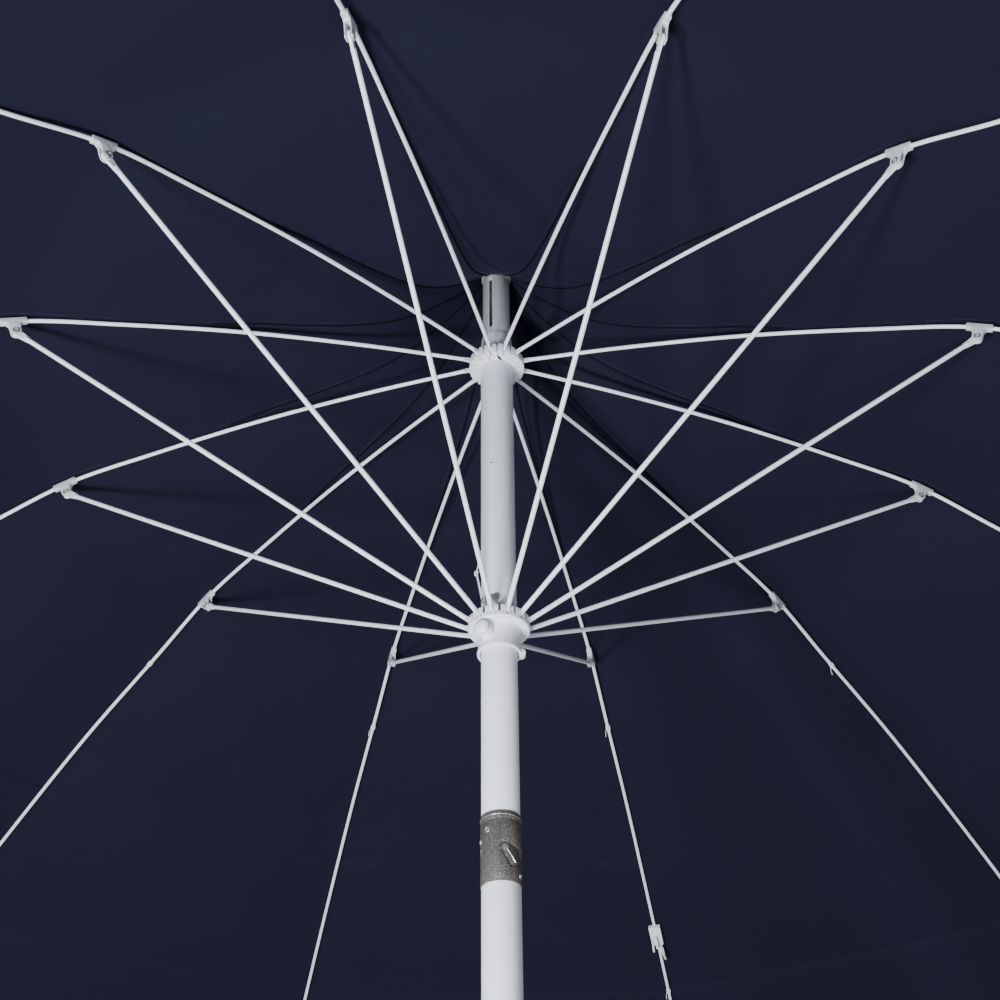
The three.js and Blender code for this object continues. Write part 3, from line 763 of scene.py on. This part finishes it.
for i, number in enumerate(RIB_NAMES):
    name = "stretcher_rod_" + number
    stretcher = object_of(name, around(stretcher_first.data, i, name), white_steel)
    fitted(stretcher, "stretcher_" + number, "white_steel", "stretcher_" + number)

# Canopy: twelve gores of navy plain-weave polyester, sewn seam to seam and hemmed.
# The seams lie on the ribs, the cloth is drawn flat between them, and the peak is pleated.
# Each gore is made as eight rings.
SEAM_LINE = [(18.8, 152), (40, 124), (61, 103), (107, 63), (153, 38), (235, 14), (288, 3),
             (348, -14), (465, -38), (560, -57), (650, -101), (800, -167), (950, -246),
             (1100, -332), (1225, -407), (1345, -483)]
CLOTH = 0.8
HEM_BOW = 0.018
HEM_WIDTH = 18.0
SADDLE = 7.0
# Where each ring of a gore starts, and the share of its width that it keeps when folded.
GORE_RINGS = [(18.8, None), (170.0, 0.57), (250.0, 0.44), (350.0, 0.36), (500.0, 0.3),
              (700.0, 0.22), (900.0, 0.152), (1120.0, 0.098)]
HEM_R = 1345.0

cloth = Finish("navy_cloth", "UV", Sheen_Weight=0.05, Sheen_Roughness=0.45,
               Sheen_Tint=(0.2, 0.22, 0.5, 1.0), Specular_IOR_Level=0.1)
THREADS_PER_METRE = 1100.0
sides = cloth.node("ShaderNodeSeparateXYZ", None, {"Vector": cloth.place})
over = cloth.node("ShaderNodeTexChecker", None,
                  {"Vector": cloth.place, "Scale": THREADS_PER_METRE}, "Fac")


def thread(wire):
    wave = wire.sum("SINE", wire * (THREADS_PER_METRE * math.pi))
    return wire.sum("ABSOLUTE", wave)


warp, weft = thread(sides.part("X")), thread(sides.part("Y"))
weave = over * warp + (1 - over) * weft
slubs = cloth.noise(cloth.place, 1.0, 2.0, stretch=(900.0, 22.0, 1.0))
cross_slubs = cloth.noise(cloth.place, 1.0, 2.0, stretch=(26.0, 900.0, 1.0))
# Broad blotches lighten the cloth here and there: painted light coming through the weave unevenly,
# mixed with the slubs of the yarn.
painted_light_patches = cloth.noise(cloth.place, 5.0, 3.0)
slubs_and_painted_light = slubs * 0.35 + cross_slubs * 0.35 + painted_light_patches * 0.3
cloth_color = cloth.mixed(slubs_and_painted_light, (0.0054, 0.0055, 0.0130), (0.0122, 0.0123, 0.0290))
crumple = cloth.noise(cloth.place, 26.0, 3.0)
navy_cloth = cloth.wear(cloth_color, 0.72 + slubs_and_painted_light * 0.2,
                        weave * 0.25 + slubs * 0.3 + crumple * 3.0, 0.3, 0.0005)

spun = Finish("navy_thread", Roughness=0.6)
ply = spun.noise(spun.place, 2500.0, 1.0)
navy_thread = spun.wear(spun.mixed(ply, (0.012, 0.015, 0.03), (0.035, 0.042, 0.075)),
                        0.5 + ply * 0.2, ply, 0.3, 0.0002)

cording = Finish("dark_piping", Roughness=0.8, Specular_IOR_Level=0.1)
twist = cording.noise(cording.place, 1800.0, 1.0)
dark_piping = cording.wear(cording.mixed(twist, (0.0015, 0.0018, 0.004), (0.004, 0.005, 0.01)),
                           height=twist, strength=0.3, depth=0.0002)

seam_line = line_through(SEAM_LINE, 10)
seam_length = np.concatenate([[0], np.cumsum(np.linalg.norm(np.diff(seam_line, axis=0), axis=1))])
HALF_TURN = math.radians(15)


def seam_at(radius):
    """Height of the seam and length along it, at a radius."""
    return (np.interp(radius, seam_line[:, 0], seam_line[:, 1]),
            np.interp(radius, seam_line[:, 0], seam_length))


def gore_rows(inner, outer):
    """Radii of the rows of one ring of a gore, closer near the peak and at the hem."""
    step = 6 if outer < 200 else 15
    rows = list(np.linspace(inner, outer, max(2, int((outer - inner) / step)) + 1))
    if outer > 1300:
        rows = [r for r in rows if r < outer - HEM_WIDTH - 4]
        rows += [outer - HEM_WIDTH - 1.2, outer - HEM_WIDTH, outer - 9, outer - 1.5, outer]
    return rows


def gore_columns(half_width):
    """Shares of the way from the seam to the middle of the panel, with the seam's own edge."""
    seam = min(5.0, 0.28 * half_width)
    edge = seam + min(0.8, 0.08 * half_width)
    near = [0.0, seam / half_width, edge / half_width]
    far = [edge / half_width + (1 - edge / half_width) * s for s in
           (0.04, 0.09, 0.15, 0.22, 0.3, 0.4, 0.5, 0.6, 0.7, 0.8, 0.9, 1.0)]
    return near + far


def cloth_point(radius, share, side):
    """A point on the underside of the canopy, at azimuth 0, and its place on the flat cloth."""
    height, along = seam_at(radius)
    half_width = radius * math.sin(HALF_TURN)
    middle = share * (2 - share)
    bow = HEM_BOW * max(0.0, radius - 1100) / 245 * middle
    out = radius * (1 - share * (1 - math.cos(HALF_TURN) ** 2)) * (1 - bow)
    across = side * share * radius * math.sin(HALF_TURN) * math.cos(HALF_TURN) * (1 - bow)
    sag = SADDLE * middle * math.sin(math.pi * min(1.0, max(0.0, (radius - 150) / 1250)))
    pleat = 1.6 * max(0.0, 1 - radius / 120) * math.sin(share * math.pi * 3) ** 2
    gather = math.exp(-share * half_width / 22) - math.exp(-share * half_width / 5)
    pucker = 0.9 * gather * math.sin(along / 7.3) * math.sin(along / 31 + 1.3)
    tie = 1.6 * gather * math.exp(-((radius - 546) / 26) ** 2)
    height += HUB_Z - sag + pleat + pucker + tie
    return [out, across, height], (side * share * half_width, along)


def gore_mesh(name, inner, outer):
    """A closed thin sheet for one ring of a gore, seam in the middle."""
    rows = gore_rows(inner, outer)
    under, above, flat = [], [], []
    for r in rows:
        half_width = r * math.sin(HALF_TURN)
        shares = gore_columns(half_width)
        line = [(s, -1) for s in reversed(shares[1:])] + [(s, 1) for s in shares]
        hem = 0.5 if r >= HEM_R - HEM_WIDTH - 0.01 else 0.0
        seam_edge = shares[1] + 1e-6
        for share, side in line:
            point, place = cloth_point(r, share, side)
            fell = 0.45 if share <= seam_edge else 0.0
            thick = max(hem, fell)
            under.append((point[0], point[1], point[2] - thick * 0.6))
            above.append((point[0], point[1], point[2] + CLOTH + thick))
            flat.append(place)
    wide = len(line)
    count = len(rows) * wide
    faces = []
    for i in range(len(rows) - 1):
        for j in range(wide - 1):
            a, b = i * wide + j, i * wide + j + 1
            c, d = a + wide, b + wide
            faces.append((a, b, d, c))
            faces.append((count + a, count + c, count + d, count + b))
    edge = [i for i in range(wide)] + [i * wide + wide - 1 for i in range(1, len(rows))]
    edge += [count - 1 - i for i in range(1, wide)]
    edge += [i * wide for i in range(len(rows) - 2, 0, -1)]
    for a, b in zip(edge, edge[1:] + edge[:1]):
        faces.append((b, a, count + a, count + b))
    mesh = bpy.data.meshes.new(name)
    mesh.from_pydata([tuple(MM * x for x in p) for p in under + above], [], faces)
    layer = mesh.uv_layers.new(name="flat_cloth")
    places = np.array(flat + flat) * MM
    corner = np.zeros(len(mesh.loops), int)
    mesh.loops.foreach_get("vertex_index", corner)
    layer.data.foreach_set("uv", places[corner].ravel())
    mesh.update()
    creased(mesh, 60)
    return mesh


def flat_size(inner, outer):
    """Width and length that a ring of a gore was cut to, in metres, and its area."""
    rows = np.linspace(inner, outer, 40)
    widths = 2 * rows * math.sin(HALF_TURN) * MM
    length = (seam_at(outer)[1] - seam_at(inner)[1]) * MM
    lengths = np.array([seam_at(r)[1] for r in rows]) * MM
    return (float(widths[-1]), float(length)), float(np.trapz(widths, lengths))


# Stitches along the edges of the start mesh.
stitch_tree, board, given = tree_of("stitches_on_path", Spacing=0.0036, Length=0.0026,
                                    Width=0.0005)
path = board.node("GeometryNodeMeshToCurve", None, {"Mesh": given.part("Geometry")})
even = board.node("GeometryNodeResampleCurve", {"mode": "LENGTH"},
                  {"Curve": path, "Length": given.part("Spacing")})
bead = board.node("GeometryNodeMeshUVSphere", None, {"Segments": 6, "Rings": 4, "Radius": 0.5})
size = board.node("ShaderNodeCombineXYZ", None,
                  {"X": given.part("Width"), "Y": given.part("Width"), "Z": given.part("Length")})
tangent = board.node("GeometryNodeInputTangent")
facing = board.node("FunctionNodeAlignRotationToVector", {"axis": "Z"}, {"Vector": tangent})
sewn = board.node("GeometryNodeInstanceOnPoints", None,
                  {"Points": even, "Instance": bead, "Rotation": facing, "Scale": size})
closed_tree(board, given, sewn)

ring_edges = [start for start, _ in GORE_RINGS] + [HEM_R]
ring_names = ["peak", "crown", "shoulder", "upper", "middle", "lower", "skirt", "hem"]
ring_meshes = [gore_mesh("gore_" + name, inner, outer)
               for name, inner, outer in zip(ring_names, ring_edges, ring_edges[1:])]
piping = [(r, 0, HUB_Z + seam_at(r)[0] - 1.0) for r in np.arange(19.5, 345, 8)]
piping_mesh = rod("peak_piping", piping, 1.1, dark_piping, 8)
creased(piping_mesh, 60)
seam_rows = []
for side in (-3.4, 3.4):
    for layer in (-0.5, CLOTH + 0.55):
        row = [(r, side, HUB_Z + seam_at(r)[0] + layer) for r in np.arange(172, 1340, 12)]
        seam_rows.append(grown(stitch_tree, "seam_stitches", path_mesh(row), navy_thread))
hem_rows = []
for layer in (-0.42, CLOTH + 0.6):
    shares = np.linspace(1, 0, 31)
    row = [(s, -1) for s in shares[:-1]] + [(s, 1) for s in shares[::-1]]
    points = [cloth_point(HEM_R - HEM_WIDTH + 3, s, side)[0] for s, side in row]
    points = [(x, y, z + layer) for x, y, z in points]
    hem_rows.append(grown(stitch_tree, "hem_stitches", path_mesh(points), navy_thread))

for i, number in enumerate(RIB_NAMES):
    body = "rib_" + number
    azimuth = math.radians(FIRST_RIB + 30 * i)
    for ring, name in enumerate(ring_names):
        title = f"gore_{name}_{number}"
        gore = object_of(title, around(ring_meshes[ring], i, title), navy_cloth)
        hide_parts("canopy")
        if ring == 0:
            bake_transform(gore)
        else:
            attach(gore, body)
            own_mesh(gore)
        size, area = flat_size(ring_edges[ring], ring_edges[ring + 1])
        "rib_rod_" + number
    title = "peak_piping_" + number
    cord_edge = object_of(title, around(piping_mesh, i, title), dark_piping)
    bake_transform(cord_edge)
    title = "seam_stitches_" + number
    stitches = object_of(title, around(seam_rows[0], i, title), navy_thread)
    joined(stitches, *[around(more, i, "row") for more in seam_rows[1:]])
    fitted(stitches, body, "navy_cloth")
    title = "hem_stitches_" + number
    hem = object_of(title, around(hem_rows[0], i, title), navy_thread)
    joined(hem, around(hem_rows[1], i, "row"))
    fitted(hem, body, "navy_cloth")
    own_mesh(hem)

# Ties and strap clip: a few turns of white thread tie the cloth to each rib, below the clip.
# One rib also holds a small moulded clip with a lug, a prong and a folded strip of plastic.
TIE_RADIUS = 668.0
tie_z = HUB_Z + float(np.interp(TIE_RADIUS, rib_line[:, 0], rib_line[:, 1]))
tie_at = Vector((TIE_RADIUS, 0, tie_z))
tie_turns = []
for k in range(73):
    angle = 2 * math.pi * k / 12
    run = 4 * k / 72 - 2
    tie_turns.append((tie_at.x + run, 3.1 * math.cos(angle),
                      tie_at.z - run * 0.43 + 3.1 * math.sin(angle)))
tie_turns += [(tie_at.x + 4, 4.5, tie_at.z - 6), (tie_at.x + 7, 5, tie_at.z - 11)]
tie_mesh = rod("tie", tie_turns, 0.45, white_steel, 6)
creased(tie_mesh, 60)
for i, number in enumerate(RIB_NAMES):
    name = "thread_tie_" + number
    tie = object_of(name, around(tie_mesh, i, name), white_steel)
    fitted(tie, "rib_" + number, "white_steel")
strap_clip = copied("strap_clip", "strap_holder", white_plastic, 0.6)
fitted(strap_clip, "rib_04", "white_plastic", "strap_clip")
rib_length = np.concatenate([[0], np.cumsum(np.linalg.norm(np.diff(rib_line, axis=0), axis=1))])
STRAP_AT = 0.731
low_r, strap_r, high_r = [np.interp(rib_length[-1] * (STRAP_AT + d), rib_length, rib_line[:, 0])
                          for d in (-0.01, 0, 0.01)]
low_z, strap_z, high_z = [np.interp(rib_length[-1] * (STRAP_AT + d), rib_length, rib_line[:, 1])
                          for d in (-0.01, 0, 0.01)]
strap_place = Matrix.Translation((strap_r, 0, HUB_Z + strap_z))
strap_slope = math.atan2(low_z - high_z, high_r - low_r)
strap_place = strap_place @ Matrix.Rotation(strap_slope, 4, "Y")
prong = [(10, 7, -5), (17, 7.4, -7), (27, 7.8, -9)]
strap_fold = [(15, -4, -6), (22, -7, -10), (32, -8, -14), (40, -8.5, -13), (42, -7.5, -10),
              (34, -6, -8), (24, -5, -8), (18, -4, -11), (26, -6, -15), (35, -9, -17),
              (37, -9, -14), (28, -6, -10)]
loose = rod("prong", [strap_place @ Vector(p) for p in prong], 1.7, white_plastic, 10)
folds = [strap_place @ Vector(p) for p in line_through(strap_fold, 5)]
folds = rod("fold", folds, 1.2, white_plastic, 8)
ends = object_of("strap_ends", around(loose, 3, "strap_ends"), white_plastic)
joined(ends, around(folds, 3, "fold"))
creased(ends.data, 60)
fitted(ends, "rib_04", "white_plastic")
LOWER_TIE = 1115.0
lower_z = float(np.interp(LOWER_TIE, rib_line[:, 0], rib_line[:, 1]))
lower_tie = around(tie_mesh, 3, "lower_tie")
rib_turn = Matrix.Rotation(math.radians(FIRST_RIB + 90), 4, "Z")
shift = rib_turn @ Vector((LOWER_TIE - TIE_RADIUS, 0, 0))
shift.z = HUB_Z + lower_z - tie_at.z
lower_tie.transform(Matrix.Translation(shift * MM))
fitted(object_of("lower_tie_04", lower_tie, white_steel), "rib_04", "white_steel")

# Floor and lights: a plain pale floor and soft studio light from below, in front and above.
# None of it belongs to the umbrella.
floor_finish = Finish("pale_floor", Roughness=0.8)
floor_finish.shader.inputs["Base Color"].default_value = (0.78, 0.78, 0.77, 1.0)
floor_shape = [(-9, -9, 0), (9, -9, 0), (9, 9, 0), (-9, 9, 0)], [(0, 1, 2, 3)]
floor = object_of("floor", mesh_of("floor", floor_shape, 1.0), floor_finish.material)


def soft_light(name, place, target, width, power):
    data = bpy.data.lights.new(name, "AREA")
    data.shape, data.size, data.energy = "DISK", width, power
    data.color = (0.93, 0.96, 1.0)
    made = bpy.data.objects.new(name, data)
    made.location = place
    made.rotation_mode = "QUATERNION"
    made.rotation_quaternion = (Vector(target) - Vector(place)).to_track_quat("-Z", "Y")
    bpy.context.scene.collection.objects.link(made)


soft_light("front_low_light", (-1.3, -1.4, 0.4), (0.05, 0.1, 2.0), 0.3, 62)
soft_light("near_low_light", (-0.5, -0.95, 0.7), (0, 0, 1.2), 0.3, 34)
soft_light("front_right_light", (1.3, -1.5, 0.45), (0, 0, 1.3), 0.8, 18)
soft_light("top_light", (-1.5, -2.0, 5.5), (0, 0, 1.8), 3.5, 150)
world = bpy.data.worlds.new("studio")
world.use_nodes = True
world.node_tree.nodes["Background"].inputs["Color"].default_value = (0.93, 0.95, 1.0, 1.0)
world.node_tree.nodes["Background"].inputs["Strength"].default_value = 0.10
bpy.context.scene.world = world

for pattern in ("rib_pattern", "clip_pattern", "stretcher_pattern"):
    bpy.data.objects.remove(bpy.data.objects[pattern])
